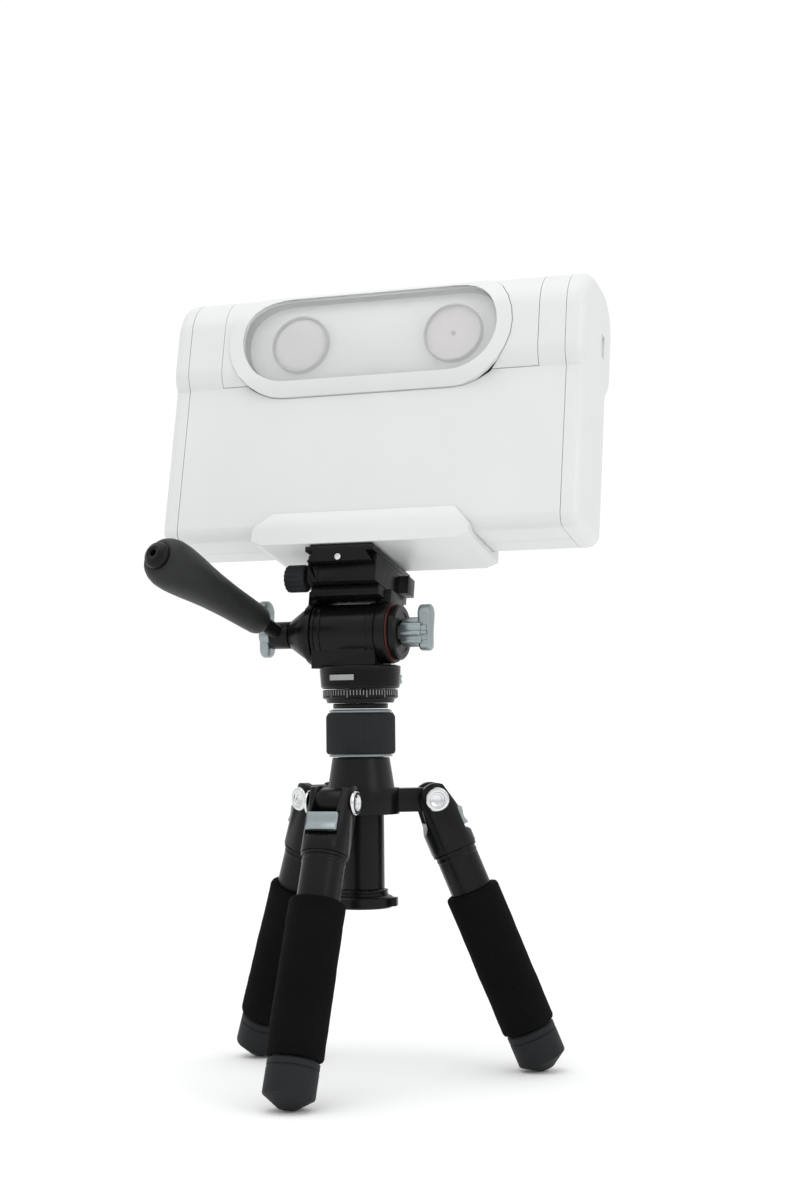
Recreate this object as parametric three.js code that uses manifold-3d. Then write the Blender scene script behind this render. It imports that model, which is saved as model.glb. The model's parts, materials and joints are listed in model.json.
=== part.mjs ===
// A white structured-light 3-D scanner on a small tripod with a two-way pan head, in millimetres, +Z up.
// The scanner's front looks along -Y and its length lies along X. The origin is on the floor, under the
// middle of the whole object's box.
import * as THREE from "three";
import { mergeVertices } from "three/addons/utils/BufferGeometryUtils.js";
import Module from "manifold-3d";

const wasm = await Module();
wasm.setup();

// ---- driving dimensions ----
const GAP = 0.3; // kept between pieces that touch
const RUN = 0.5; // kept between pieces that turn or slide past each other
const ROUND = 24; // facets round a large turned piece
const SMALL_ROUND = 16; // facets round a small one
const deg = THREE.MathUtils.degToRad;

const PIVOT_HEIGHT = 158; // leg pivots above the floor
const PIVOT_RADIUS = 42; // leg pivots from the column's axis
const LEG_LEAN = deg(22.5);
const LEGS = { front: deg(268.5), right: deg(28.5), left: deg(148.5) };
const LEG_TUBE_RADIUS = 12.5;
const YOKE_LENGTH = 31; // pivot to the end of the yoke
const GRIP_START = 57; // pivot to the top of the foam
const GRIP_END = 143.5;
const GRIP_RADIUS = 16;
const FOOT_RADIUS = 14.3;
const FOOT_TIP_RADIUS = 5;
const FOOT_CONE = 6.5; // height of the conical sole
const SOLE_FLAT = 0.5; // how deep the floor cuts the sole's edge
const YOKE_WIDTH = 26;
const EAR_WIDTH = 14.4;
const EAR_RADIUS = 8.2;
const BOLT_RADIUS = 3;

const COLUMN_RADIUS = 13;
const COLUMN_BOTTOM = PIVOT_HEIGHT - 61.6;
const HUB_RADIUS = 22;
const HUB_BOTTOM = PIVOT_HEIGHT - 8;
const HUB_TOP = PIVOT_HEIGHT + 7;
const NECK_TOP = HUB_TOP + 17.4;
const COLLAR_RADIUS = 20;
const COLLAR_TOP = NECK_TOP + 27.8;
const PAN_BOTTOM = COLLAR_TOP + 3.7;
const PAN_RADIUS = 23.6;
const TILT_HEIGHT = PAN_BOTTOM + 40.3; // tilt axis above the floor
const BARREL_RADIUS = 17;
const BARREL_LEFT = -25;
const BARREL_RIGHT = 14.2;
const CHEEK_RADIUS = 18;
const CHEEK_LEFT = -30;
const CHEEK_RIGHT = 21;
const AXLE_RADIUS = 4;
const TILT_BACK = deg(12.5); // the head and the scanner lean back this far
const HEAD_X = -3.5; // middle of the clamp and of the plate, from the column's axis
const HANDLE_LENGTH = 124; // from the handle's pivot to its round end
const HANDLE_START = 23; // where the rubber starts
const HANDLE_RISE = deg(19.5);
const HANDLE_OUT = deg(13);
const HANDLE_RADII = [[0, 8.2], [0.05, 8.8], [0.3, 9.6], [0.55, 11.2], [0.78, 13.8], [0.88, 14.2], [0.96, 12.2]];
const ROD_RADIUS = 4.4; // the bar inside the rubber
const EYE_RADIUS = 8; // the handle's eye on its pivot
const EYE_HALF = 5.8;
const CONE_LENGTH = 12.4; // the cone that carries the handle, out from the left cheek
const KNOB_STEM = 3;

const BODY_X = 7; // middle of the scanner
const BODY_LEFT = -121;
const BODY_RIGHT = 136;
const BODY_TOP = 209.5; // heights in the scanner are taken from the tilt axis
const BODY_BOTTOM = 52;
const BULGE_DEPTH = 33; // half the depth of the round upper part
const BULGE_TOP_RADIUS = 26;
const BULGE_LOW_RADIUS = 20;
const BULGE_BOTTOM = 140.2;
const SLAB_FRONT = 28;
const SLAB_BACK = 24;
const SLAB_RADIUS = 8;
const WALL = 2.4;
const CAP_WIDTH = 11;
const CAP_ROUND = 7;
const WINDOW_X = 4.5;
const WINDOW_HEIGHT = 175;
const WINDOW_RADIUS = 28;
const CAP_RADIUS = 7; // of the pivot bolts' heads
const CAP_HEIGHT = 1.6;
const WINDOW_REACH = 51.5; // from the window's middle to the middle of its round ends
const BEZEL_RADIUS = 37;
const LENS_REACH = 48; // half the distance between the two lenses
const LENS_HEIGHT = 173;
const LENS_RADIUS = 18;
const COVER_LEFT = -88;
const COVER_RIGHT = 109;
const PLATE_TOP = 43.6;
const PLATE_HALF = 21; // half the quick plate's width
const PLATE_BACK = 31;
const PLATE_FRONT = 33;
const PLATE_UNDER = PLATE_TOP - 9.1;
const PLATFORM_BOTTOM = BARREL_RADIUS + 2 * GAP;
const CLAMP_BOTTOM = BARREL_RADIUS + 7;
const ARM_FRONT = 9; // how far forward the tilting arms reach beside the clamp
const CLAMP_KNOB = [0, -19, 28.6]; // where the clamp's screw runs, in the clamp's frame

// ---- materials ----
function paint(colour, roughness, metalness) {
  return new THREE.MeshStandardMaterial({ color: colour, roughness, metalness });
}
const white = paint(0xe9ebea, 0.45, 0);
const black = paint(0x131415, 0.4, 0.4);
const rubber = paint(0x1d1f20, 0.85, 0);
const foam = paint(0x0e0e0f, 1, 0);
const silver = paint(0x93a0a1, 0.35, 0.8);
const chrome = paint(0xd4d7d8, 0.12, 1);
const grey = paint(0x55595b, 0.5, 0.6);
const red = paint(0xa23430, 0.4, 0.3);
const glass = paint(0xdfe3e3, 0.05, 0);
const lensGlass = paint(0xb9b4b4, 0.1, 0.1);
const board = paint(0x1f5a3a, 0.5, 0.1);

// ---- geometry helpers ----
function solidOf(geometry) {
  const flat = geometry.index ? geometry.toNonIndexed() : geometry.clone();
  flat.deleteAttribute("normal");
  flat.deleteAttribute("uv");
  const merged = mergeVertices(flat, 1e-4);
  return new wasm.Manifold(
    new wasm.Mesh({
      numProp: 3,
      vertProperties: merged.attributes.position.array,
      triVerts: new Uint32Array(merged.index.array),
    }),
  );
}

function geometryOf(solid) {
  const mesh = solid.getMesh();
  return new THREE.BufferGeometry()
    .setAttribute("position", new THREE.BufferAttribute(mesh.vertProperties, 3))
    .setIndex(new THREE.BufferAttribute(mesh.triVerts, 1));
}

function join(...geometries) {
  return geometryOf(geometries.map(solidOf).reduce((a, b) => a.add(b)));
}

function cut(geometry, ...tools) {
  return geometryOf(tools.map(solidOf).reduce((a, b) => a.subtract(b), solidOf(geometry)));
}

function common(a, b) {
  return geometryOf(solidOf(a).intersect(solidOf(b)));
}

function box(x0, x1, y0, y1, z0, z1) {
  return new THREE.BoxGeometry(x1 - x0, y1 - y0, z1 - z0).translate(
    (x0 + x1) / 2,
    (y0 + y1) / 2,
    (z0 + z1) / 2,
  );
}

// A turned piece: points are [radius, height] pairs, going up the outside.
function turned(points, facets = ROUND) {
  return new THREE.LatheGeometry(
    points.map(([r, z]) => new THREE.Vector2(r, z)),
    facets,
  ).rotateX(Math.PI / 2);
}

// A turned ring or rod between two heights.
function ring(outer, inner, low, high, facets = ROUND) {
  const outline = [[inner, low], [outer, low], [outer, high], [inner, high]];
  return turned(inner > 0 ? [...outline, [inner, low]] : outline, facets);
}

// The same, with its axis along X.
function turnedX(points, facets = ROUND) {
  return turned(points, facets).rotateY(Math.PI / 2);
}

function ringX(outer, inner, low, high, facets = ROUND) {
  return ring(outer, inner, low, high, facets).rotateY(Math.PI / 2);
}

// A prism along X of a closed outline of [y, z] points.
function prismX(outline, low, high) {
  const shape = new THREE.Shape(outline.map(([y, z]) => new THREE.Vector2(y, z)));
  const geometry = new THREE.ExtrudeGeometry(shape, { depth: high - low, bevelEnabled: false });
  return geometry.rotateX(Math.PI / 2).rotateZ(Math.PI / 2).translate(low, 0, 0);
}

// A prism along Y of a closed outline of [x, z] points.
function prismY(outline, low, high) {
  const shape = new THREE.Shape(outline.map(([x, z]) => new THREE.Vector2(x, z)));
  const geometry = new THREE.ExtrudeGeometry(shape, { depth: high - low, bevelEnabled: false });
  return geometry.rotateX(Math.PI / 2).translate(0, high, 0);
}

// Points on an arc from one angle to another, both in degrees.
function arc(cx, cy, radius, from, to, steps) {
  return Array.from({ length: steps + 1 }, (_, i) => {
    const angle = deg(from + ((to - from) * i) / steps);
    return [cx + radius * Math.cos(angle), cy + radius * Math.sin(angle)];
  });
}

function stadium(radius, reach, cx, cz, steps = 14) {
  return [
    ...arc(cx + reach, cz, radius, -90, 90, steps),
    ...arc(cx - reach, cz, radius, 90, 270, steps),
  ];
}

const part = new THREE.Group();

function add(parent, name, geometry, material) {
  const mesh = new THREE.Mesh(geometry, material);
  mesh.name = name;
  parent.add(mesh);
  return mesh;
}

// ---- tripod ----
function hub() {
  const body = turned([
    [COLUMN_RADIUS + RUN, HUB_BOTTOM],
    [HUB_RADIUS, HUB_BOTTOM],
    [HUB_RADIUS, HUB_TOP],
    [19.3, HUB_TOP],
    [16.6, NECK_TOP],
    [COLUMN_RADIUS + RUN, NECK_TOP],
    [COLUMN_RADIUS + RUN, HUB_BOTTOM],
  ]);
  const ears = Object.values(LEGS).map((azimuth) => {
    const bar = box(17, PIVOT_RADIUS, -EAR_WIDTH / 2, EAR_WIDTH / 2, HUB_BOTTOM + 1, HUB_TOP - 0.5);
    const eye = ring(EAR_RADIUS, 0, -EAR_WIDTH / 2, EAR_WIDTH / 2, 24)
      .rotateX(Math.PI / 2)
      .translate(PIVOT_RADIUS, 0, PIVOT_HEIGHT);
    const bore = ring(BOLT_RADIUS + RUN, 0, -EAR_WIDTH, EAR_WIDTH, SMALL_ROUND)
      .rotateX(Math.PI / 2)
      .translate(PIVOT_RADIUS, 0, PIVOT_HEIGHT);
    return cut(join(bar, eye), bore).rotateZ(azimuth);
  });
  return join(body, ...ears);
}

function tripodCentre() {
  add(part, "hub", hub(), black);
  const collarLow = NECK_TOP + RUN;
  add(
    part,
    "collar_nut",
    turned([
      [COLUMN_RADIUS + RUN, collarLow],
      [COLLAR_RADIUS - 2.2, collarLow],
      [COLLAR_RADIUS - 1.6, collarLow + 1.2],
      [COLLAR_RADIUS - 2.6, collarLow + 1.2],
      [COLLAR_RADIUS - 2.6, COLLAR_TOP - 1.6],
      [COLLAR_RADIUS - 1.8, COLLAR_TOP - 1.6],
      [COLLAR_RADIUS - 3, COLLAR_TOP],
      [COLUMN_RADIUS + RUN, COLLAR_TOP],
      [COLUMN_RADIUS + RUN, collarLow],
    ]),
    silver,
  );
  const sleeveInner = COLLAR_RADIUS - 2.6 + GAP;
  const sleeveLow = collarLow + 1.2 + GAP;
  const sleeveHigh = COLLAR_TOP - 1.6 - GAP;
  add(
    part,
    "collar_grip",
    turned([
      [sleeveInner, sleeveLow],
      [COLLAR_RADIUS - 1.2, sleeveLow],
      [COLLAR_RADIUS, sleeveLow + 1.6],
      [COLLAR_RADIUS, sleeveHigh - 2.4],
      [COLLAR_RADIUS - 1.4, sleeveHigh],
      [sleeveInner, sleeveHigh],
      [sleeveInner, sleeveLow],
    ]),
    rubber,
  );
}

function column() {
  const tubeLow = COLUMN_BOTTOM + 10.6 + GAP;
  add(part, "centre_column", ring(COLUMN_RADIUS, COLUMN_RADIUS - 2, tubeLow, COLLAR_TOP), black);
  const flange = turned([
    [0, COLUMN_BOTTOM],
    [17, COLUMN_BOTTOM],
    [18, COLUMN_BOTTOM + 1],
    [18, COLUMN_BOTTOM + 6],
    [16, COLUMN_BOTTOM + 7.3],
    [15, COLUMN_BOTTOM + 7.3],
    [15, COLUMN_BOTTOM + 10.6],
    [0, COLUMN_BOTTOM + 10.6],
  ]);
  const lug = box(14, 20.5, -4, 4, COLUMN_BOTTOM + 1, COLUMN_BOTTOM + 6).rotateZ(deg(10));
  add(part, "column_foot", join(flange, lug), black);
  add(
    part,
    "column_head",
    turned([
      [0, COLLAR_TOP + RUN],
      [16, COLLAR_TOP + RUN],
      [16, PAN_BOTTOM - GAP],
      [0, PAN_BOTTOM - GAP],
    ]),
    black,
  );
}

// ---- one leg, from its pivot at the origin down along -Z, with +X outward ----
function yoke() {
  const half = YOKE_WIDTH / 2;
  const front = 11;
  const back = -9.5;
  const body = prismY(
    [
      [back, 0],
      ...arc(0, 0, -back, 180, 45, 9),
      [front, -9],
      [front, -22],
      [LEG_TUBE_RADIUS + 0.6, -24],
      [LEG_TUBE_RADIUS + 0.6, -YOKE_LENGTH],
      [-LEG_TUBE_RADIUS - 0.6, -YOKE_LENGTH],
      [-LEG_TUBE_RADIUS - 0.6, -18],
      [back - 1.5, -14],
    ],
    -half,
    half,
  );
  const round = ring(half + 0.6, 0, -YOKE_LENGTH - 1, half, ROUND);
  const fork = box(-20, 20, -EAR_WIDTH / 2 - GAP, EAR_WIDTH / 2 + GAP, -EAR_RADIUS - 3, 20);
  const bore = ring(BOLT_RADIUS + GAP + 0.1, 0, -half - 1, half + 1, SMALL_ROUND).rotateX(Math.PI / 2);
  const tabSlot = box(front - 3.2, 20, -9.4, 9.4, -22, -9);
  return cut(common(body, round), fork, bore, tabSlot);
}

function footShape(length) {
  const top = -GRIP_END - 0.6;
  const shape = turned([
    [0, -length],
    [FOOT_TIP_RADIUS, -length],
    [FOOT_RADIUS - 1, -length + FOOT_CONE - 0.8],
    [FOOT_RADIUS, -length + FOOT_CONE],
    [FOOT_RADIUS, top - 1],
    [FOOT_RADIUS - 1, top],
    [0, top],
  ]);
  const floor = box(-60, 60, -60, 60, -60, 0)
    .translate(-PIVOT_RADIUS, 0, -PIVOT_HEIGHT)
    .translate(footReach(length), 0, 0)
    .rotateY(LEG_LEAN);
  return cut(shape, floor);
}

// How far out from the column's axis the tip of a leg of this length lies.
function footReach(length) {
  return PIVOT_RADIUS + length * Math.sin(LEG_LEAN);
}

function leg(side, azimuth) {
  const spoke = new THREE.Group();
  spoke.rotation.z = azimuth;
  part.add(spoke);
  const frame = new THREE.Group();
  frame.position.set(PIVOT_RADIUS, 0, PIVOT_HEIGHT);
  frame.rotation.y = -LEG_LEAN;
  spoke.add(frame);
  const tipEdge = FOOT_TIP_RADIUS * Math.sin(LEG_LEAN);
  const length = (PIVOT_HEIGHT + SOLE_FLAT - tipEdge) / Math.cos(LEG_LEAN);
  const tubeTop = -YOKE_LENGTH - GAP;
  add(frame, side + "_leg_yoke", yoke(), black);
  add(
    frame,
    side + "_leg_tube",
    turned([
      [0, -GRIP_END],
      [LEG_TUBE_RADIUS - 0.5, -GRIP_END],
      [LEG_TUBE_RADIUS - 0.5, tubeTop - 1.5],
      [LEG_TUBE_RADIUS + 0.6, tubeTop - 1.5],
      [LEG_TUBE_RADIUS + 0.6, tubeTop],
      [0, tubeTop],
    ]),
    black,
  );
  add(frame, side + "_leg_grip", ring(GRIP_RADIUS, LEG_TUBE_RADIUS, -GRIP_END, -GRIP_START), foam);
  add(frame, side + "_leg_foot", footShape(length), rubber);
  add(frame, side + "_angle_tab", angleTab(), silver);
  const cap = YOKE_WIDTH / 2 + GAP;
  add(
    frame,
    side + "_leg_pivot_bolt",
    turned(
      [[0, -cap - CAP_HEIGHT], [CAP_RADIUS - 0.6, -cap - CAP_HEIGHT], [CAP_RADIUS, -cap - CAP_HEIGHT / 2],
       [CAP_RADIUS, -cap], [BOLT_RADIUS, -cap], [BOLT_RADIUS, cap], [CAP_RADIUS, cap],
       [CAP_RADIUS, cap + CAP_HEIGHT / 2], [CAP_RADIUS - 0.6, cap + CAP_HEIGHT], [0, cap + CAP_HEIGHT]],
    ).rotateX(Math.PI / 2),
    chrome,
  );
}

// The sliding lock tab in the yoke's outer face, with a hollow thumb face.
function angleTab() {
  const outline = [[8.2, -9.4], [12.6, -9.4], ...arc(17.5, -15, 6, 155, 205, 4), [12.6, -19.6], [8.2, -19.6]];
  return prismY(outline, -9, 9);
}

// ---- pan head ----
function panBody() {
  const base = turned([
    [0, PAN_BOTTOM + 8.2],
    [PAN_RADIUS - 1.4, PAN_BOTTOM + 8.2],
    [PAN_RADIUS, PAN_BOTTOM + 21],
    [PAN_RADIUS - 2, PAN_BOTTOM + 21.8],
    [0, PAN_BOTTOM + 21.8],
  ]);
  const saddle = box(BARREL_LEFT, BARREL_RIGHT, -14, 14, PAN_BOTTOM + 20, TILT_HEIGHT);
  const barrel = ringX(BARREL_RADIUS, 0, BARREL_LEFT, BARREL_RIGHT).translate(0, 0, TILT_HEIGHT);
  const bore = ringX(AXLE_RADIUS + RUN, 0, BARREL_LEFT - 1, BARREL_RIGHT + 1, SMALL_ROUND);
  return cut(join(base, saddle, barrel), bore.translate(0, 0, TILT_HEIGHT));
}

function panBase() {
  return turned([
    [0, PAN_BOTTOM],
    [19.4, PAN_BOTTOM],
    [20.2, PAN_BOTTOM + 2.4],
    [21.4, PAN_BOTTOM + 2.6],
    [21.8, PAN_BOTTOM + 7.6],
    [0, PAN_BOTTOM + 7.6],
  ]);
}

function starKnob(radius, lobes, depth, facets) {
  const outline = Array.from({ length: facets }, (_, i) => {
    const angle = (i / facets) * 2 * Math.PI;
    const r = radius - depth * (0.5 - 0.5 * Math.cos(lobes * angle));
    return [r * Math.cos(angle), r * Math.sin(angle)];
  });
  return outline;
}

function panParts() {
  add(part, "pan_scale_ring", panBase(), black);
  add(part, "pan_body", panBody(), black);
  const badge = box(-7.5, 7.5, -PAN_RADIUS - 0.9, -PAN_RADIUS - 0.3, PAN_BOTTOM + 12.8, PAN_BOTTOM + 16);
  add(part, "pan_badge", badge.rotateZ(deg(-5)), silver);
  const knob = prismX(starKnob(6.4, 10, 0.9, 40), PAN_RADIUS + 1.6, PAN_RADIUS + 11);
  const stem = ringX(2.4, 0, PAN_RADIUS + GAP, PAN_RADIUS + 2, SMALL_ROUND);
  add(
    part,
    "pan_lock_knob",
    join(knob, stem).rotateZ(deg(75)).translate(0, 0, PAN_BOTTOM + 14),
    silver,
  );
}

// ---- the tilting parts, in a frame with its origin on the tilt axis ----
function tiltFrame() {
  const top = CLAMP_BOTTOM - GAP;
  const plate = box(HEAD_X - PLATE_HALF, HEAD_X + PLATE_HALF, -20, 20, PLATFORM_BOTTOM, top);
  const bridge = box(CHEEK_LEFT, CHEEK_RIGHT, -ARM_FRONT, 14, PLATFORM_BOTTOM, top);
  const spans = [[CHEEK_LEFT, BARREL_LEFT - RUN], [BARREL_RIGHT + RUN, CHEEK_RIGHT]];
  const cheeks = spans.map(([low, high]) =>
    join(ringX(CHEEK_RADIUS, 0, low, high), box(low, high, -ARM_FRONT, 14, 6, top)),
  );
  const bore = ringX(AXLE_RADIUS + GAP + 0.1, 0, CHEEK_LEFT - 1, CHEEK_RIGHT + 1, SMALL_ROUND);
  return cut(join(plate, bridge, ...cheeks), bore);
}

function wing(span, width, low, high) {
  return box(low, high, -width / 2, width / 2, -span / 2, span / 2);
}

function tiltParts(tilt) {
  add(tilt, "tilt_frame", tiltFrame(), black);
  add(tilt, "tilt_axle", ringX(AXLE_RADIUS, 0, CHEEK_LEFT, 36, SMALL_ROUND), grey);
  const accent = CHEEK_RIGHT + GAP;
  add(tilt, "tilt_accent_ring", ringX(CHEEK_RADIUS - 0.6, AXLE_RADIUS + GAP + 0.2, accent, accent + 0.8), red);
  const disc = accent + 0.8 + GAP;
  add(tilt, "tilt_end_disc", ringX(16, AXLE_RADIUS + GAP + 0.2, disc, disc + 4), black);
  const knobLow = disc + 4 + RUN;
  const knob = join(
    prismX(starKnob(8.7, 9, 1.7, 54), knobLow, knobLow + 12.5),
    wing(27, 6, knobLow + 10, knobLow + 17.5).rotateX(deg(12)).translate(0, 0, -2),
  );
  const socket = ringX(AXLE_RADIUS + RUN, 0, knobLow - 1, 36.6, SMALL_ROUND);
  add(tilt, "tilt_lock_knob", cut(knob, socket), silver);
  const cone = turnedX([
    [0, CHEEK_LEFT - CONE_LENGTH],
    [EYE_RADIUS, CHEEK_LEFT - CONE_LENGTH],
    [CHEEK_RADIUS - 4, CHEEK_LEFT - 4],
    [CHEEK_RADIUS - 2, CHEEK_LEFT - GAP],
    [0, CHEEK_LEFT - GAP],
  ]);
  add(tilt, "handle_rosette", cone, black);
}

// The handle, along +X of its own group from the rosette outwards.
function handleParts(tilt) {
  const pivot = new THREE.Group();
  pivot.position.set(CHEEK_LEFT - CONE_LENGTH - RUN - EYE_HALF, 0, 0);
  tilt.add(pivot);
  const eye = ringX(EYE_RADIUS, 0, -EYE_HALF, EYE_HALF);
  const boltBore = ringX(KNOB_STEM + GAP + 0.1, 0, -EYE_HALF - 1, EYE_HALF + 1, SMALL_ROUND);
  const along = new THREE.Group();
  const rise = HANDLE_RISE - TILT_BACK * Math.cos(HANDLE_OUT);
  along.rotation.set(0, -rise, -Math.PI / 2 - HANDLE_OUT, "ZYX");
  const aim = new THREE.Matrix4().makeRotationFromEuler(along.rotation);
  const rod = ringX(ROD_RADIUS, 0, 2, HANDLE_LENGTH - 8, SMALL_ROUND).applyMatrix4(aim);
  add(pivot, "handle_arm", cut(join(eye, rod), boltBore), black);
  pivot.add(along);
  const gripBore = ROD_RADIUS + 0.7;
  const end = HANDLE_LENGTH - 5;
  add(
    along,
    "handle_grip",
    turnedX([
      [gripBore, HANDLE_START],
      ...HANDLE_RADII.map(([share, radius]) => [radius, HANDLE_START + share * (end - HANDLE_START)]),
      [9, end],
      [gripBore, end - 1],
      [gripBore, HANDLE_START],
    ]),
    rubber,
  );
  const hole = 2;
  const spigot = gripBore - GAP;
  add(
    along,
    "handle_end_cap",
    turnedX([[hole, end - 1], [spigot, end - 1], [spigot, end + 0.4], [8, end + 0.7], [7, end + 3],
      [4, HANDLE_LENGTH], [hole, HANDLE_LENGTH - 0.5], [hole, end - 1]]),
    black,
  );
  const knobFace = -EYE_HALF - RUN;
  const wings = join(
    ringX(5.6, 0, knobFace - 7, knobFace),
    wing(32, 7, knobFace - 7, knobFace - 1.2).rotateX(deg(8)).translate(0, 0, -3),
    ringX(KNOB_STEM, 0, knobFace - 1, EYE_HALF, SMALL_ROUND),
  );
  add(pivot, "handle_wing_knob", wings, silver);
}

// ---- quick-release clamp and plate ----
function clampParts(tilt) {
  const clamp = new THREE.Group();
  clamp.position.set(HEAD_X, 0, 0);
  tilt.add(clamp);
  const lipTop = PLATE_UNDER + 5.6;
  const bed = PLATE_UNDER - GAP;
  const tip = PLATE_HALF - 4.32;
  const root = PLATE_HALF - 0.87;
  const split = -PLATE_HALF + 7;
  const half = 27;
  const bodyOutline = [[split, CLAMP_BOTTOM], [PLATE_HALF, CLAMP_BOTTOM], [PLATE_HALF, lipTop],
    [tip, lipTop], [root, bed], [split, bed]];
  const jawOutline = [[-PLATE_HALF, CLAMP_BOTTOM], [split - GAP, CLAMP_BOTTOM], [split - GAP, bed],
    [-root, bed], [-tip, lipTop], [-PLATE_HALF, lipTop]];
  const screwBore = ringX(2.6 + GAP, 0, -PLATE_HALF - 1, 2, SMALL_ROUND).translate(...CLAMP_KNOB);
  const lug = box(PLATE_HALF - 1, PLATE_HALF + 6, 12, 23, CLAMP_BOTTOM + 3, PLATE_UNDER + 3);
  add(clamp, "clamp_body", cut(join(prismY(bodyOutline, -half, half), lug), screwBore), black);
  add(clamp, "clamp_jaw", cut(prismY(jawOutline, -half, half), screwBore), black);
  const knob = join(
    prismX(starKnob(8, 12, 0.7, 48), -PLATE_HALF - 15, -PLATE_HALF - 2.6),
    ringX(2.4, 0, -PLATE_HALF - 3, 0.6, SMALL_ROUND),
  ).translate(...CLAMP_KNOB);
  add(clamp, "clamp_knob", knob, rubber);
  const waist = PLATE_HALF - 5;
  const flare = PLATE_HALF - 1.5;
  const shoulder = PLATE_UNDER + 6;
  const plate = prismY(
    [[-flare, PLATE_UNDER], [flare, PLATE_UNDER], [waist, shoulder], [PLATE_HALF, shoulder],
     [PLATE_HALF, PLATE_TOP], [-PLATE_HALF, PLATE_TOP], [-PLATE_HALF, shoulder], [-waist, shoulder]],
    -PLATE_FRONT,
    PLATE_BACK,
  );
  const screwHole = ring(3.3 + GAP, 0, PLATE_UNDER - 1, PLATE_TOP + 3, SMALL_ROUND);
  const headHole = ring(7 + GAP, 0, PLATE_UNDER - 1, PLATE_UNDER + 4.2, 24);
  add(clamp, "quick_plate", cut(plate, screwHole, headHole), black);
  const pad = box(-PLATE_HALF + 2, PLATE_HALF - 2, -PLATE_FRONT + 2, PLATE_BACK - 2, PLATE_TOP + GAP,
    PLATE_TOP + 1.3);
  add(clamp, "plate_pad", cut(pad, screwHole), rubber);
  const screw = turned([[0, PLATE_UNDER + 0.4], [6.8, PLATE_UNDER + 0.4], [6.8, PLATE_UNDER + 3.8],
    [3, PLATE_UNDER + 3.8], [3, PLATE_TOP + 5], [0, PLATE_TOP + 5]], 20);
  add(clamp, "mounting_screw", screw, chrome);
  const stop = ring(1.9, 0, PLATE_FRONT + GAP, PLATE_FRONT + 2, SMALL_ROUND)
    .rotateX(Math.PI / 2)
    .translate(0, 0, PLATE_UNDER + 1.9);
  add(clamp, "plate_stop_screw", stop, chrome);
}

// ---- scanner ----
// The front half of the body's outline in (y, z), from the top to the bottom; the back half is its
// mirror with its own slab depth. A positive inset moves it inwards.
function halfOutline(inset, slab, bulgeBottom = BULGE_BOTTOM) {
  const arcMiddle = BULGE_DEPTH - BULGE_LOW_RADIUS;
  const topMiddle = BULGE_DEPTH - BULGE_TOP_RADIUS;
  const low = BULGE_LOW_RADIUS - inset;
  const end = THREE.MathUtils.radToDeg(Math.acos((slab - inset - arcMiddle) / low));
  return [
    [0, BODY_TOP - inset],
    ...arc(topMiddle, BODY_TOP - BULGE_TOP_RADIUS, BULGE_TOP_RADIUS - inset, 90, 0, 12),
    ...arc(arcMiddle, bulgeBottom + BULGE_LOW_RADIUS, low, 0, -end, 6),
    ...arc(slab - SLAB_RADIUS, BODY_BOTTOM + SLAB_RADIUS, SLAB_RADIUS - inset, 0, -90, 5),
    [0, BODY_BOTTOM + inset],
  ];
}

function frontOutline(inset, bulgeBottom) {
  return halfOutline(inset, SLAB_FRONT, bulgeBottom).map(([y, z]) => [-y, z]);
}

// The whole outline, front and back.
function fullOutline(inset) {
  const back = halfOutline(inset, SLAB_BACK).reverse().slice(1, -1);
  return [...frontOutline(inset), ...back];
}

// One half shell: the outline and its inset copy, parted on the plane y = 0.
function halfShell(outer, inner, sign) {
  const parting = GAP / 2;
  const shift = ([y, z]) => (Math.abs(y) < parting ? [sign * parting, z] : [y, z]);
  return [...outer.map(shift), ...inner.map(shift).reverse()];
}

function prismYStadium(radius, reach) {
  return prismY(stadium(radius, reach, WINDOW_X, WINDOW_HEIGHT), -60, -12);
}

function shells(body) {
  const low = BODY_LEFT + CAP_WIDTH + GAP;
  const high = BODY_RIGHT - CAP_WIDTH - GAP;
  const front = prismX(halfShell(frontOutline(0), frontOutline(WALL), -1), low, high);
  const hole = prismYStadium(BEZEL_RADIUS + GAP, WINDOW_REACH);
  const crease = BULGE_BOTTOM + 7;
  const coverRoom = box(COVER_LEFT, COVER_RIGHT, -60, 1, crease, BODY_TOP + 1);
  const coverBlock = box(COVER_LEFT + GAP, COVER_RIGHT - GAP, -60, 1, crease + GAP, BODY_TOP + 1);
  add(body, "front_shell", cut(front, hole, coverRoom), white);
  add(body, "window_cover", cut(common(front, coverBlock), hole), white);
  const back = halfOutline(0, SLAB_BACK);
  const backInner = halfOutline(WALL, SLAB_BACK);
  add(body, "rear_shell", prismX(halfShell(back, backInner, 1).reverse(), low, high), white);
}

function endCap(sign) {
  const shape = new THREE.Shape(fullOutline(CAP_ROUND).map(([y, z]) => new THREE.Vector2(y, z)));
  const geometry = new THREE.ExtrudeGeometry(shape, {
    depth: 2 * (CAP_WIDTH - CAP_ROUND),
    bevelEnabled: true,
    bevelThickness: CAP_ROUND,
    bevelSize: CAP_ROUND,
    bevelSegments: 4,
  });
  geometry.rotateX(Math.PI / 2).rotateZ(Math.PI / 2).translate(-(CAP_WIDTH - CAP_ROUND), 0, 0);
  const keep = sign > 0 ? box(0, 40, -60, 60, 0, 300) : box(-40, 0, -60, 60, 0, 300);
  return common(geometry, keep);
}

function endCaps(body) {
  const left = endCap(-1).translate(BODY_LEFT + CAP_WIDTH, 0, 0);
  const port = box(BODY_RIGHT - 1.6, BODY_RIGHT + 5, 6, 13, 165, 179);
  const right = endCap(1).translate(BODY_RIGHT - CAP_WIDTH, 0, 0);
  add(body, "left_end_cap", left, white);
  add(body, "right_end_cap", cut(right, port), white);
}

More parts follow.
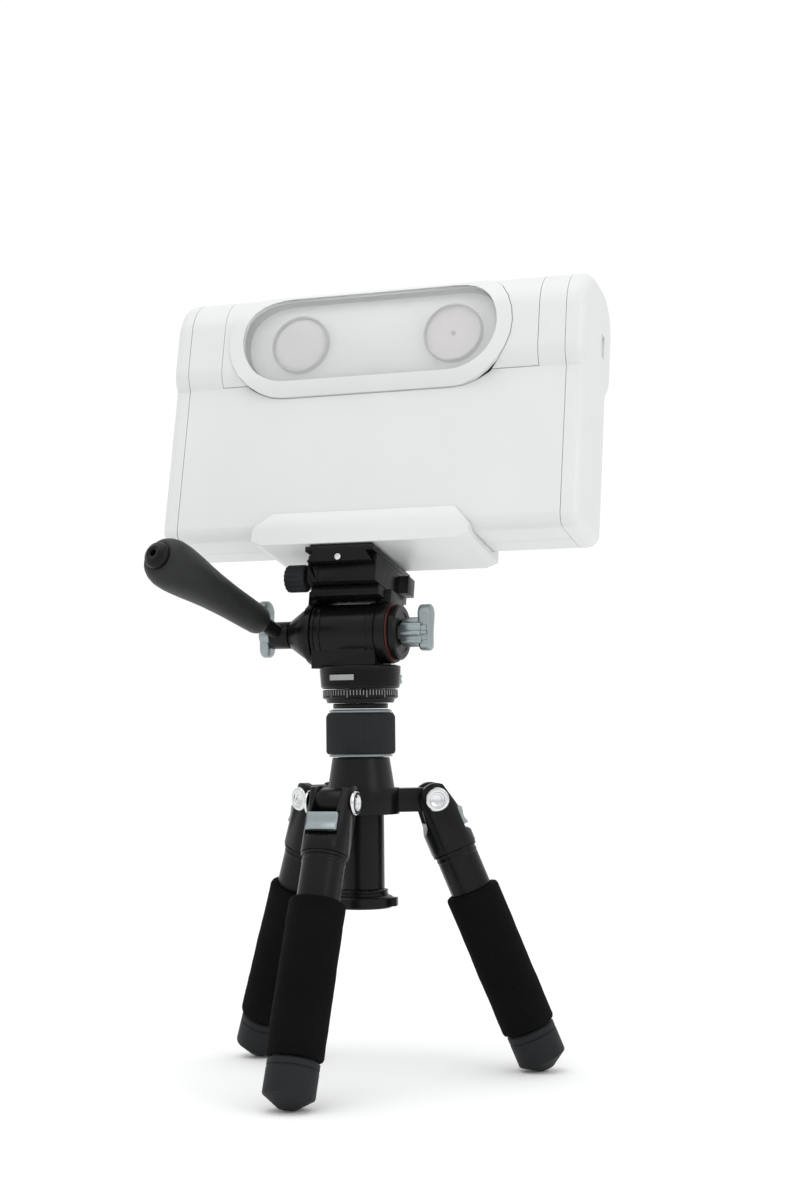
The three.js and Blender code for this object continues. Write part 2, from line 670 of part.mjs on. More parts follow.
function windowParts(body) {
  const chin = BULGE_BOTTOM - 9;
  const proud = -0.8;
  const bezelBlock = prismX(halfShell(frontOutline(proud, chin), frontOutline(WALL, chin), -1), -100, 120);
  const lip = cut(common(bezelBlock, prismYStadium(BEZEL_RADIUS, WINDOW_REACH)),
    prismYStadium(WINDOW_RADIUS, WINDOW_REACH),
    box(-100, 120, -60, -SLAB_FRONT + GAP, 0, BULGE_BOTTOM - 2));
  add(body, "window_bezel", lip, white);
  const pane = prismX(halfShell(frontOutline(0.2, chin), frontOutline(1.7, chin), -1), -100, 120);
  add(body, "window_glass", common(pane, prismYStadium(WINDOW_RADIUS - GAP, WINDOW_REACH)), glass);
}

function lensTube(radius, front, back) {
  return turned(
    [[0, back], [radius, back], [radius, front], [radius - 1.6, front], [radius - 4, front - 3],
     [0, front - 3]],
    28,
  ).rotateX(Math.PI / 2);
}

function optics(body) {
  const inside = SLAB_FRONT - WALL - 0.6;
  const sides = { projector: BODY_X - LENS_REACH, camera: BODY_X + LENS_REACH };
  for (const [name, x] of Object.entries(sides)) {
    const tube = lensTube(LENS_RADIUS, 27, 2).translate(x, 0, LENS_HEIGHT);
    add(body, name + "_lens_barrel", tube, grey);
    const dome = turned([[0, 24.3], [LENS_RADIUS - 4.6, 24.3], [9, 26], [0, 26.8]], 24)
      .rotateX(Math.PI / 2)
      .translate(x, 0, LENS_HEIGHT);
    add(body, name + "_lens", dome, lensGlass);
  }
  add(body, "optics_frame", box(-70, 84, -1.5, 3, 153, 193), grey);
  add(body, "main_board", box(-100, 114, 12, 14, 62, 138), board);
  add(body, "battery_pack", box(-60, 74, -inside + 8, 8, 60, 128), grey);
}

function mountBracket(body) {
  const slabFloor = BODY_BOTTOM - GAP;
  const corner = SLAB_RADIUS + GAP;
  const bottom = PLATE_TOP + 1.3 + GAP;
  const outline = [
    [-SLAB_FRONT - GAP, 66],
    [-SLAB_FRONT - 5, 57.5],
    [-SLAB_FRONT - 5, bottom],
    [SLAB_BACK + 4, bottom],
    [SLAB_BACK + 4, 58],
    [SLAB_BACK + GAP, 60],
    ...arc(SLAB_BACK - SLAB_RADIUS, BODY_BOTTOM + SLAB_RADIUS, corner, 0, -90, 5),
    ...arc(-SLAB_FRONT + SLAB_RADIUS, BODY_BOTTOM + SLAB_RADIUS, corner, -90, -180, 5),
  ];
  const cradle = prismX(outline, BODY_X - 66, BODY_X + 66);
  const ends = prismY([[BODY_X - 56, 44], [BODY_X + 56, 44], [BODY_X + 66, 48], [BODY_X + 66, slabFloor + 3],
    [BODY_X + 55, 67], [BODY_X - 55, 67], [BODY_X - 66, slabFloor + 3], [BODY_X - 66, 48]], -60, 60);
  const screwSocket = ring(3.3 + GAP, 0, 40, PLATE_TOP + 5.4, SMALL_ROUND).translate(HEAD_X, 0, 0);
  add(body, "mount_bracket", cut(common(cradle, ends), screwSocket), white);
}

tripodCentre();
column();
for (const [side, azimuth] of Object.entries(LEGS)) leg(side, azimuth);
panParts();
const tilt = new THREE.Group();
tilt.position.set(0, 0, TILT_HEIGHT);
tilt.rotation.x = -TILT_BACK;
part.add(tilt);
tiltParts(tilt);
handleParts(tilt);
clampParts(tilt);
shells(tilt);
endCaps(tilt);
windowParts(tilt);
optics(tilt);
mountBracket(tilt);

// The origin goes to the middle of the object's box, on the floor.
part.updateMatrixWorld(true);
const bounds = new THREE.Box3().setFromObject(part, true);
const middle = bounds.getCenter(new THREE.Vector3());
const object = new THREE.Group();
part.position.set(-middle.x, -middle.y, -bounds.min.z);
object.add(part);
export default object;
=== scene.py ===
# %% [markdown]
# # White structured-light scanner on a small tripod
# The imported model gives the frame: every size and place below is taken from it. The notebook builds the
# camera and the studio, then the finishes, and then the finer pieces that stand for the plain solids:
# turned metal, foam, rubber and moulded plastic. Each piece rides on the body that carries it.

# %% Load the frame
import json
import math

import bpy
from mathutils import Matrix, Vector


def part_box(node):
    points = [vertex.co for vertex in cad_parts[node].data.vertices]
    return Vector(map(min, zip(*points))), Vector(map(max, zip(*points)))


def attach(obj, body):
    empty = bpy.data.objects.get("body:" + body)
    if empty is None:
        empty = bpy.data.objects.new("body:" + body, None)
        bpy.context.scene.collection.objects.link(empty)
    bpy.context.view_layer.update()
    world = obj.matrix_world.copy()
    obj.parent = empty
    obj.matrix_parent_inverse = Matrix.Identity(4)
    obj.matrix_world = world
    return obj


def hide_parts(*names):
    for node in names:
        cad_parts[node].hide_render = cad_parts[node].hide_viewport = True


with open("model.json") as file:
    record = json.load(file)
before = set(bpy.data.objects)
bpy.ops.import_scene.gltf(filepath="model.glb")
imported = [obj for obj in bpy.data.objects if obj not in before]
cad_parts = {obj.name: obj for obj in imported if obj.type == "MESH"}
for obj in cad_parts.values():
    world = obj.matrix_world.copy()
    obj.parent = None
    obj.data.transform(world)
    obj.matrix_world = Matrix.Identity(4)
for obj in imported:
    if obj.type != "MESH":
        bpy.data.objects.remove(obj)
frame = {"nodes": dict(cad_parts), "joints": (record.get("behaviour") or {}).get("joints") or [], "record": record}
bpy.ops.object.select_all(action="DESELECT")
joints = {j["name"]: j for j in frame["joints"]}
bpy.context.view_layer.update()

# %% [markdown]
# The places that the rest of the notebook builds on: the column's axis, the tilted frame that the clamp
# and the scanner share, and one frame for each leg with its pivot at the origin and the leg along -Z.

# %% Frames
MM = 0.001
COLUMN = Vector(joints["column_slide"].get("pos_m", joints["pan"]["pos_m"]))
COLUMN.z = 0.0
TILT_POINT = Vector(joints["tilt"]["pos_m"])
slide = Vector(joints["plate_slide"]["axis"])
TILT_BACK = math.atan2(-slide.z, slide.y)
TILTED = Matrix.Translation(TILT_POINT) @ Matrix.Rotation(-TILT_BACK, 4, "X")
UPRIGHT = Matrix.Translation(COLUMN)
LEG_SIDES = ("front", "right", "left")


def leg_frame(side):
    """The leg's own frame: origin at the pivot, X outward, Z up along the leg."""
    pull = Vector(joints[side + "_tab_pull"]["axis"])
    across = Vector(joints[side + "_leg_fold"]["axis"])
    up = pull.cross(across)
    turn = Matrix((pull, across, up)).transposed().to_4x4()
    return Matrix.Translation(joints[side + "_leg_fold"]["pos_m"]) @ turn


print("tilted back", round(math.degrees(TILT_BACK), 2), "degrees")

# %% [markdown]
# The camera stands a little over a metre from the column, low, and looks slightly up and to the right of
# it. The object stands on a pale seamless floor in soft light from all round, with one large light
# overhead and a little to the left and a weaker one from the right, so that shadows are only faint.

# %% Camera and studio
CAMERA_AZIMUTH = math.radians(20.8)
CAMERA_DISTANCE = 1.1537
CAMERA_HEIGHT = 0.202
CAMERA_YAW = math.radians(1.326)
CAMERA_PITCH = math.radians(3.538)
CAMERA_ROLL = math.radians(-0.624)
CAMERA_LENS = 59.7
SENSOR_WIDTH = 36
NEAREST_SEEN = 0.05
BACKDROP = 1.02
SKY_LOW = 0.78
SKY_HIGH = 1.22
FLOOR_SIZE = 30
FLOOR_DROP = 0.0004
FLOOR_COLOUR = (0.97, 0.975, 0.975)
FLOOR_ROUGHNESS = 0.8


def add_camera():
    data = bpy.data.cameras.new("camera")
    data.lens = CAMERA_LENS
    data.sensor_width = SENSOR_WIDTH
    data.clip_start = NEAREST_SEEN
    camera = bpy.data.objects.new("camera", data)
    bpy.context.scene.collection.objects.link(camera)
    away = Vector((math.sin(CAMERA_AZIMUTH), -math.cos(CAMERA_AZIMUTH), 0)) * CAMERA_DISTANCE
    place = Matrix.Translation(COLUMN + away + Vector((0, 0, CAMERA_HEIGHT)))
    turn = Matrix.Rotation(CAMERA_AZIMUTH - CAMERA_YAW, 4, "Z") @ Matrix.Rotation(
        math.pi / 2 + CAMERA_PITCH, 4, "X"
    )
    camera.matrix_world = place @ turn @ Matrix.Rotation(CAMERA_ROLL, 4, "Z")
    bpy.context.scene.camera = camera


def area_light(name, energy, size, place, aim):
    data = bpy.data.lights.new(name, "AREA")
    data.energy = energy
    data.size = size
    light = bpy.data.objects.new(name, data)
    bpy.context.scene.collection.objects.link(light)
    light.location = place
    light.rotation_euler = (Vector(aim) - Vector(place)).to_track_quat("-Z", "Y").to_euler()


def add_world():
    """White behind the object, and a softer light that is brightest overhead."""
    world = bpy.data.worlds.new("studio")
    world.use_nodes = True
    tree = world.node_tree
    link = tree.links.new
    lit = tree.nodes["Background"]
    seen = tree.nodes.new("ShaderNodeBackground")
    seen.inputs["Strength"].default_value = BACKDROP
    for background in (lit, seen):
        background.inputs["Color"].default_value = (1, 1, 1, 1)
    place = tree.nodes.new("ShaderNodeTexCoord")
    split = tree.nodes.new("ShaderNodeSeparateXYZ")
    link(place.outputs["Generated"], split.inputs["Vector"])
    height = tree.nodes.new("ShaderNodeMapRange")
    height.inputs["To Min"].default_value = SKY_LOW
    height.inputs["To Max"].default_value = SKY_HIGH
    link(split.outputs["Z"], height.inputs["Value"])
    link(height.outputs["Result"], lit.inputs["Strength"])
    path = tree.nodes.new("ShaderNodeLightPath")
    mix = tree.nodes.new("ShaderNodeMixShader")
    link(path.outputs["Is Camera Ray"], mix.inputs["Fac"])
    link(lit.outputs["Background"], mix.inputs[1])
    link(seen.outputs["Background"], mix.inputs[2])
    link(mix.outputs["Shader"], tree.nodes["World Output"].inputs["Surface"])
    bpy.context.scene.world = world


def plain_material(name, colour, roughness):
    material = bpy.data.materials.new(name)
    material.use_nodes = True
    shader = material.node_tree.nodes["Principled BSDF"]
    shader.inputs["Base Color"].default_value = (*colour, 1)
    shader.inputs["Roughness"].default_value = roughness
    return material


def add_studio():
    add_world()
    bpy.context.scene.view_settings.view_transform = "Standard"
    bpy.ops.mesh.primitive_plane_add(size=FLOOR_SIZE, location=(0, 0, -FLOOR_DROP))
    floor = bpy.context.object
    floor.name = "studio_floor"
    floor.data.materials.append(plain_material("studio_floor", FLOOR_COLOUR, FLOOR_ROUGHNESS))
    area_light("overhead_light", energy=4, size=1.2, place=(-0.2, -0.3, 1.7), aim=(0, 0, 0.25))
    area_light("right_light", energy=2.5, size=0.7, place=(1.3, -0.6, 0.9), aim=(0, 0, 0.35))


add_camera()
add_studio()
print("camera at", [round(x, 3) for x in bpy.context.scene.camera.location])

# %% [markdown]
# Every finish has a grain of its own: fine moulded texture on the white plastic, bead-blasted and anodised
# metal on the tripod, open-pored foam and stippled rubber. A small noise varies the colour and the
# roughness, and a finer one gives the relief.

# %% Finishes
DRIFT_SCALE = 35
DRIFT_DETAIL = 4
GRAIN_DETAIL = 2
RAMP_LOW = 0.3
RAMP_HIGH = 0.7
ROUGHNESS_DRIFT = 0.05


def add_drift(nodes, link, place, shader, colour, vary, roughness):
    """A large soft noise that varies the colour and the roughness."""
    drift = nodes.new("ShaderNodeTexNoise")
    drift.inputs["Scale"].default_value = DRIFT_SCALE
    drift.inputs["Detail"].default_value = DRIFT_DETAIL
    link(place.outputs["Object"], drift.inputs["Vector"])
    ramp = nodes.new("ShaderNodeValToRGB")
    ramp.color_ramp.elements[0].position = RAMP_LOW
    ramp.color_ramp.elements[0].color = (*[c * (1 - vary) for c in colour], 1)
    ramp.color_ramp.elements[1].position = RAMP_HIGH
    ramp.color_ramp.elements[1].color = (*[min(1, c * (1 + vary)) for c in colour], 1)
    link(drift.outputs["Fac"], ramp.inputs["Fac"])
    link(ramp.outputs["Color"], shader.inputs["Base Color"])
    rough = nodes.new("ShaderNodeMapRange")
    rough.inputs["To Min"].default_value = roughness - ROUGHNESS_DRIFT
    rough.inputs["To Max"].default_value = min(1, roughness + ROUGHNESS_DRIFT)
    link(drift.outputs["Fac"], rough.inputs["Value"])
    link(rough.outputs["Result"], shader.inputs["Roughness"])


def add_grain(nodes, link, place, shader, grain, relief, depth):
    """A fine noise that gives the surface its relief."""
    fine = nodes.new("ShaderNodeTexNoise")
    fine.inputs["Scale"].default_value = grain
    fine.inputs["Detail"].default_value = GRAIN_DETAIL
    link(place.outputs["Object"], fine.inputs["Vector"])
    bump = nodes.new("ShaderNodeBump")
    bump.inputs["Strength"].default_value = relief
    bump.inputs["Distance"].default_value = depth
    link(fine.outputs["Fac"], bump.inputs["Height"])
    link(bump.outputs["Normal"], shader.inputs["Normal"])


def finish(
    name, colour, roughness, metallic=0.0, grain=1500.0, relief=0.1, depth=0.0001, vary=0.06, **sockets
):
    """A procedural finish. Other sockets of the shader are named with underscores for spaces."""
    material = bpy.data.materials.new(name)
    material.use_nodes = True
    nodes = material.node_tree.nodes
    link = material.node_tree.links.new
    shader = nodes["Principled BSDF"]
    shader.inputs["Metallic"].default_value = metallic
    for socket, value in sockets.items():
        shader.inputs[socket.replace("_", " ")].default_value = value
    place = nodes.new("ShaderNodeTexCoord")
    add_drift(nodes, link, place, shader, colour, vary, roughness)
    add_grain(nodes, link, place, shader, grain, relief, depth)
    return material


WHITE = finish("white_shell", (0.68, 0.69, 0.69), 0.34, grain=2200, relief=0.12, vary=0.01)
BLACK = finish("black_metal", (0.0042, 0.0045, 0.0047), 0.28, grain=2600, relief=0.25, vary=0.2,
               Specular_IOR_Level=0.17)
RUBBER = finish("rubber", (0.0095, 0.011, 0.012), 0.6, grain=1500, relief=0.6, depth=0.0002, vary=0.15,
                Specular_IOR_Level=0.22)
GRIP = finish("grip_rubber", (0.011, 0.0115, 0.012), 0.48, grain=900, relief=0.8, depth=0.0003, vary=0.25,
              Specular_IOR_Level=0.3)
FOAM = finish("foam", (0.004, 0.004, 0.0042), 0.95, grain=1100, relief=0.9, depth=0.0004, vary=0.25,
              Specular_IOR_Level=0.08)
SILVER = finish("silver", (0.3, 0.345, 0.355), 0.34, metallic=0.8, grain=2600, relief=0.15, vary=0.05)
CHROME = finish("chrome", (0.7, 0.71, 0.72), 0.14, metallic=1.0, grain=1800, relief=0.03, vary=0.03)
GREY = finish("grey_metal", (0.3, 0.3, 0.3), 0.4, metallic=0.3, grain=2000, relief=0.1)
RED = finish("accent_red", (0.05, 0.011, 0.01), 0.45, grain=2000, relief=0.1, Specular_IOR_Level=0.25)
BOARD = finish("circuit_board", (0.03, 0.14, 0.07), 0.4, grain=900, relief=0.2)
PALE = finish("window_inside", (0.66, 0.67, 0.67), 0.5, grain=1800, relief=0.08, vary=0.02)
LENS = finish("lens_glass", (0.5, 0.48, 0.48), 0.1, grain=900, relief=0.01, vary=0.04, Coat_Weight=0.6)
FILTER = finish("camera_filter", (0.56, 0.52, 0.52), 0.25, grain=900, relief=0.01, vary=0.04)
MARK = finish("white_mark", (0.3, 0.3, 0.3), 0.5, grain=2000, relief=0.05)
LABEL = finish("blank_label", (0.28, 0.29, 0.29), 0.4, grain=2000, relief=0.05, vary=0.08)
GLASS = finish("window_glass", (0.9, 0.92, 0.92), 0.06, grain=300, relief=0.0, vary=0.01, Alpha=0.2)
SLOT_FINISH = {
    "white_shell": WHITE, "black_metal": BLACK, "rubber": RUBBER, "foam": FOAM, "silver": SILVER,
    "chrome": CHROME, "grey_metal": GREY, "accent_red": RED, "window_glass": GLASS,
    "lens_glass": LENS, "circuit_board": BOARD,
}
node_slots = {s["node"]: s["material_slot"] for s in frame["record"]["subparts"]}
for name, node in frame["nodes"].items():
    node.data.materials.clear()
    node.data.materials.append(SLOT_FINISH[node_slots[name]])
print("finishes", len(bpy.data.materials))

# %% [markdown]
# Helpers that work as by hand: a turned piece starts as a circle and is extruded ring by ring, a casting is
# drawn from the plain solid with its flat faces joined and its edges eased, and each finished piece is laid
# into the frame and rides on its body.

# %% Helpers
SAME_POINT = 0.00001
SAME_TURNED_POINT = 0.000001
FLAT_ANGLE = 0.5


def deselect():
    if bpy.context.object and bpy.context.object.mode != "OBJECT":
        bpy.ops.object.mode_set(mode="OBJECT")
    bpy.ops.object.select_all(action="DESELECT")


def only(obj):
    deselect()
    obj.select_set(True)
    bpy.context.view_layer.objects.active = obj


def apply_modifiers(obj):
    only(obj)
    for modifier in list(obj.modifiers):
        bpy.ops.object.modifier_apply(modifier=modifier.name)


def lay(obj, place):
    """The piece is put into the row's frame, and its place is applied to its mesh."""
    obj.matrix_world = place @ obj.matrix_world
    only(obj)
    bpy.ops.object.transform_apply(location=True, rotation=True, scale=True)


def complete(obj, name, material, body, replaced=(), smooth=35, weighted=False):
    """Names a finished piece, gives it its finish and lets it ride on its body."""
    obj.name = name
    obj.data.name = name
    obj.data.materials.clear()
    obj.data.materials.append(material)
    only(obj)
    bpy.ops.object.shade_smooth_by_angle(angle=math.radians(smooth))
    if weighted:
        weights = obj.modifiers.new("weights", "WEIGHTED_NORMAL")
        weights.keep_sharp = True
        apply_modifiers(obj)
    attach(obj, body)
    if replaced:
        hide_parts(*replaced)
    return obj


def ease(obj, width, segments=2, angle=30):
    """Bevels every edge sharper than the angle."""
    bevel = obj.modifiers.new("ease", "BEVEL")
    bevel.width = width
    bevel.segments = segments
    bevel.limit_method = "ANGLE"
    bevel.angle_limit = math.radians(angle)
    bevel.use_clamp_overlap = True
    apply_modifiers(obj)


def recalculate(obj):
    only(obj)
    bpy.ops.object.mode_set(mode="EDIT")
    bpy.ops.mesh.select_all(action="SELECT")
    bpy.ops.mesh.normals_make_consistent(inside=False)
    bpy.ops.object.mode_set(mode="OBJECT")


def span(node, place):
    """Lowest and highest corner of a plain solid in a frame of its own, in millimetres."""
    back = place.inverted()
    points = [back @ v.co for v in frame["nodes"][node].data.vertices]
    low = Vector([min(p[i] for p in points) for i in range(3)]) / MM
    high = Vector([max(p[i] for p in points) for i in range(3)]) / MM
    return low, high


def flute(obj, lobes, depth):
    """Presses every lobe's flank inwards, ring vertex by ring vertex."""
    mesh = obj.data
    per = len(mesh.vertices) // lobes
    for step in range(per):
        bpy.ops.mesh.select_all(action="DESELECT")
        bpy.ops.object.mode_set(mode="OBJECT")
        for vertex in mesh.vertices:
            vertex.select = vertex.index % per == step
        bpy.ops.object.mode_set(mode="EDIT")
        ratio = 1 - depth * (0.5 - 0.5 * math.cos(2 * math.pi * step / per))
        bpy.ops.transform.resize(value=(ratio, ratio, 1), center_override=(0, 0, 0))
    bpy.ops.mesh.select_all(action="SELECT")


def turn(profile, sides=96, place=Matrix.Identity(4), edge=0.0, flutes=None):
    """A turned piece from (radius, height) pairs in millimetres. A profile that comes back to its first
    point makes a ring, and any other a solid that is closed at its first and last heights. Flutes are a
    number of lobes and their depth as a share of the radius."""
    deselect()
    closed = profile[0] == profile[-1]
    radius, height = profile[0]
    bpy.ops.mesh.primitive_circle_add(
        vertices=sides, radius=radius * MM, fill_type="NOTHING" if closed else "NGON"
    )
    obj = bpy.context.object
    bpy.ops.object.mode_set(mode="EDIT")
    bpy.ops.mesh.select_mode(type="VERT")
    bpy.ops.mesh.select_all(action="SELECT")
    if flutes:
        flute(obj, *flutes)
    bpy.ops.transform.translate(value=(0, 0, height * MM))
    for next_radius, next_height in profile[1:]:
        step = (0, 0, (next_height - height) * MM)
        bpy.ops.mesh.extrude_region_move(TRANSFORM_OT_translate={"value": step})
        ratio = next_radius / radius
        bpy.ops.transform.resize(value=(ratio, ratio, 1), center_override=(0, 0, next_height * MM))
        radius, height = next_radius, next_height
    bpy.ops.mesh.select_all(action="SELECT")
    bpy.ops.mesh.remove_doubles(threshold=SAME_TURNED_POINT)
    bpy.ops.mesh.normals_make_consistent(inside=False)
    bpy.ops.object.mode_set(mode="OBJECT")
    if edge:
        ease(obj, edge * MM, segments=2, angle=40 if flutes else 25)
    lay(obj, place)
    return obj


def slab(outline, low, high, place=Matrix.Identity(4), edge=0.3):
    """A plate with a drawn outline of (x, y) pairs, from one height to another, all in millimetres."""
    deselect()
    bpy.ops.mesh.primitive_circle_add(vertices=len(outline), radius=MM, fill_type="NGON")
    obj = bpy.context.object
    for vertex, (x, y) in zip(obj.data.vertices, outline):
        vertex.co = (x * MM, y * MM, low * MM)
    bpy.ops.object.mode_set(mode="EDIT")
    bpy.ops.mesh.select_all(action="SELECT")
    step = (0, 0, (high - low) * MM)
    bpy.ops.mesh.extrude_region_move(TRANSFORM_OT_translate={"value": step})
    bpy.ops.object.mode_set(mode="OBJECT")
    recalculate(obj)
    if edge:
        ease(obj, edge * MM, segments=3, angle=25)
    lay(obj, place)
    return obj


def joined(first, *others):
    """Several meshes become one piece."""
    only(first)
    for other in others:
        other.select_set(True)
    bpy.ops.object.join()
    return first


def shown(obj):
    """A copy of a plain solid becomes a piece of its own that shows."""
    for key in list(obj.keys()):
        del obj[key]
    obj.parent = None
    obj.hide_viewport = False
    obj.hide_render = False
    bpy.context.scene.collection.objects.link(obj)


def casting(node, width, segments=2, angle=30):
    """A finer copy of a plain solid: its flat faces are joined and its edges are eased."""
    deselect()
    obj = frame["nodes"][node].copy()
    obj.data = obj.data.copy()
    shown(obj)
    only(obj)
    bpy.ops.object.mode_set(mode="EDIT")
    bpy.ops.mesh.select_all(action="SELECT")
    bpy.ops.mesh.remove_doubles(threshold=SAME_POINT)
    bpy.ops.mesh.dissolve_limited(angle_limit=math.radians(FLAT_ANGLE))
    bpy.ops.mesh.normals_make_consistent(inside=False)
    bpy.ops.object.mode_set(mode="OBJECT")
    ease(obj, width * MM, segments, angle)
    return obj


# %% [markdown]
# The white housing is moulded in parts: a front and a rear shell, a cover round the window and two end caps.
# Each is eased at its rims, which leaves the fine shadow lines between them.

# %% Scanner housing
HOUSING_RIMS = {
    "front_shell": 0.2, "window_cover": 0.2, "rear_shell": 0.2, "left_end_cap": 0.2,
    "right_end_cap": 0.2, "mount_bracket": 1.3, "window_bezel": 0.6,
}
for node, rim in HOUSING_RIMS.items():
    shell = casting(node, rim, segments=2, angle=32)
    complete(shell, node + "_moulding", WHITE, "scanner", [node], smooth=40,
             weighted=True)
print("housing pieces", len(HOUSING_RIMS))

# %% [markdown]
# Behind the window the real scanner has a pale moulded panel. It is a copy of the window itself, set a few
# millimetres behind it, so it follows the same curve. The two optics stand out of it.

# %% Window panel
PANEL_DEPTH = 9.6


def window_panel():
    """The pale panel a few millimetres behind the window."""
    panel = casting("window_glass", 0.2)
    back = TILTED.to_3x3() @ Vector((0, PANEL_DEPTH * MM, 0))
    lay(panel, Matrix.Translation(back))
    return panel


complete(window_panel(), "window_panel", PALE, "scanner", smooth=40)
print("window panel", PANEL_DEPTH, "mm behind the glass")

# %% [markdown]
# The left optic is the projector: a domed lens in a short barrel. The right one is the camera, behind a
# flat coated filter with a small dark pupil in its middle. Their glass fills almost the whole barrel.

# %% Optics
BARREL_RIM = 1.1
GLASS_SET_BACK = 2.6
FLAT_BELOW = 1
DOME_STEP = 6
PROJECTOR_DOME = 3.0
FILTER_DOME = 0.4
ALONG_Y = Matrix.Rotation(math.pi / 2, 4, "X")


def optic(name, dome):
    """A short barrel and the glass in it. A nearly flat glass also has a small pupil."""
    low, high = span(name + "_lens_barrel", TILTED)
    middle = (low + high) / 2
    radius = (high.x - low.x) / 2
    front = -low.y
    glass = radius - BARREL_RIM
    place = TILTED @ Matrix.Translation(Vector((middle.x, 0, middle.z)) * MM) @ ALONG_Y
    barrel = turn(
        [(radius, 2), (radius, front - 0.8), (radius - 0.4, front), (glass + 0.2, front),
         (glass, front - 0.6), (glass, front - 3.2)],
        place=place,
    )
    complete(barrel, name + "_barrel_turned", GREY, "scanner", [name + "_lens_barrel"])
    steps = [(glass * math.cos(math.radians(a)), front - GLASS_SET_BACK + dome * math.sin(math.radians(a)))
             for a in range(0, 88, DOME_STEP)]
    lens = turn([(glass, front - 3.4), *steps, (0.2, front - GLASS_SET_BACK + dome)], place=place)
    complete(lens, name + "_lens_ground", LENS if dome > FLAT_BELOW else FILTER, "scanner",
             [name + "_lens"], smooth=60)
    if dome < FLAT_BELOW:
        pupil = turn([(1.5, front - 2.4), (1.5, front - 2.2 + dome), (1.2, front - 2.0 + dome)],
                     sides=32, place=place)
        complete(pupil, name + "_pupil", GREY, "scanner")


optic("projector", PROJECTOR_DOME)
optic("camera", FILTER_DOME)
print("optics", 2)

# %% [markdown]
# The tripod's hub and the head are cast and machined aluminium, anodised black. Their plain solids already
# hold the right shape, so each is redrawn with its flats joined and every edge eased.

# %% Castings of the tripod and the head
CASTINGS = {
    "hub": ("hub_body", 0.6), "pan_body": ("pan", 0.5), "tilt_frame": ("tilt", 0.8),
    "clamp_body": ("tilt", 0.5), "clamp_jaw": ("jaw", 0.5), "quick_plate": ("scanner", 0.4),
    "handle_arm": ("handle", 0.5), "handle_end_cap": ("handle", 0.3), "handle_rosette": ("tilt", 0.8),
    "column_head": ("column", 0.5),
}
for node, (body, rim) in CASTINGS.items():
    complete(casting(node, rim), node + "_casting", BLACK, body, [node])
for side in LEG_SIDES:
    yoke = casting(side + "_leg_yoke", 0.8)
    complete(yoke, side + "_yoke_casting", BLACK, side + "_leg", [side + "_leg_yoke"])
    tab = casting(side + "_angle_tab", 0.6)
    complete(tab, side + "_tab_casting", SILVER, side + "_tab", [side + "_angle_tab"])
print("castings", len(CASTINGS) + 2 * len(LEG_SIDES))

# %% [markdown]
# Each leg has a drawn tube with a rolled ring under the yoke, a foam sleeve, a rubber foot with a conical
# sole that the floor has worn flat, and a pivot bolt with a polished cap and a hex recess at both ends.
# The foam is a stiff closed-cell tube: its surface wavers a little, and its two ends are rounded off.

# %% Legs
ACROSS = Matrix.Rotation(-math.pi / 2, 4, "X")
FOAM_RINGS = 36
FOAM_WAVER = 0.0007
WAVER_SIZE = 0.012
SLEEVE_SIDES = 80
SHANK_RADIUS = 3.0


def leg_tube(side, place):
    low, high = span(side + "_leg_tube", place)
    ring = high.x
    radius = ring - 1.1
    top = high.z
    return turn(
        [(radius, low.z), (radius, top - 5), (radius + 0.25, top - 4.6), (radius + 0.25, top - 3.4),
         (radius, top - 3), (radius, top - 1.5), (ring, top - 1.5), (ring, top)],
        place=place, edge=0.2,
    )


def foam_sleeve(side, place):
    low, high = span(side + "_leg_grip", place)
    outer = high.x - 0.25
    inner = span(side + "_leg_tube", place)[1].x - 0.8
    start, end = low.z + 0.2, high.z - 0.2
    rise = (end - start - 4) / FOAM_RINGS
    wall = [(outer, start + 2 + rise * i) for i in range(FOAM_RINGS + 1)]
    sleeve = turn(
        [(inner, start), (outer - 1.6, start), (outer - 0.5, start + 0.6), *wall,
         (outer - 0.5, end - 0.6), (outer - 1.6, end), (inner, end), (inner, start)],
        sides=SLEEVE_SIDES, place=place,
    )
    texture = bpy.data.textures.new(side + "_foam_waver", "CLOUDS")
    texture.noise_scale = WAVER_SIZE
    waver = sleeve.modifiers.new("waver", "DISPLACE")
    waver.texture = texture
    waver.strength = FOAM_WAVER
    apply_modifiers(sleeve)
    return sleeve


def rubber_foot(side, place):
    low, high = span(side + "_leg_foot", place)
    radius = (high.y - low.y) / 2
    tip = low.z
    top = high.z
    foot = turn(
        [(5, tip), (radius - 1.2, tip + 5.6), (radius - 0.3, tip + 6.2), (radius, tip + 7),
         (radius, top - 5.2), (radius - 0.5, top - 4.9), (radius - 0.5, top - 4.3), (radius, top - 4),
         (radius, top - 1), (radius - 1, top)],
        place=place,
    )
    only(foot)
    bpy.ops.object.mode_set(mode="EDIT")
    bpy.ops.mesh.select_all(action="SELECT")
    bpy.ops.mesh.bisect(plane_co=(0, 0, 0), plane_no=(0, 0, -1), use_fill=True, clear_outer=True)
    bpy.ops.object.mode_set(mode="OBJECT")
    return foot


def pivot_bolt(side, place):
    high = span(side + "_leg_pivot_bolt", place)[1]
    end = high.y
    head = high.z
    half = [(SHANK_RADIUS, 0), (SHANK_RADIUS, end - 1.7), (head - 0.1, end - 1.7), (head, end - 0.9),
            (head - 0.7, end), (4.4, end), (4.1, end - 0.7), (2.9, end - 0.9), (2.7, end - 1.6)]
    other = [(radius, -height) for radius, height in reversed(half[1:])]
    return turn(other + half[1:], sides=72, place=place @ ACROSS, edge=0.12)


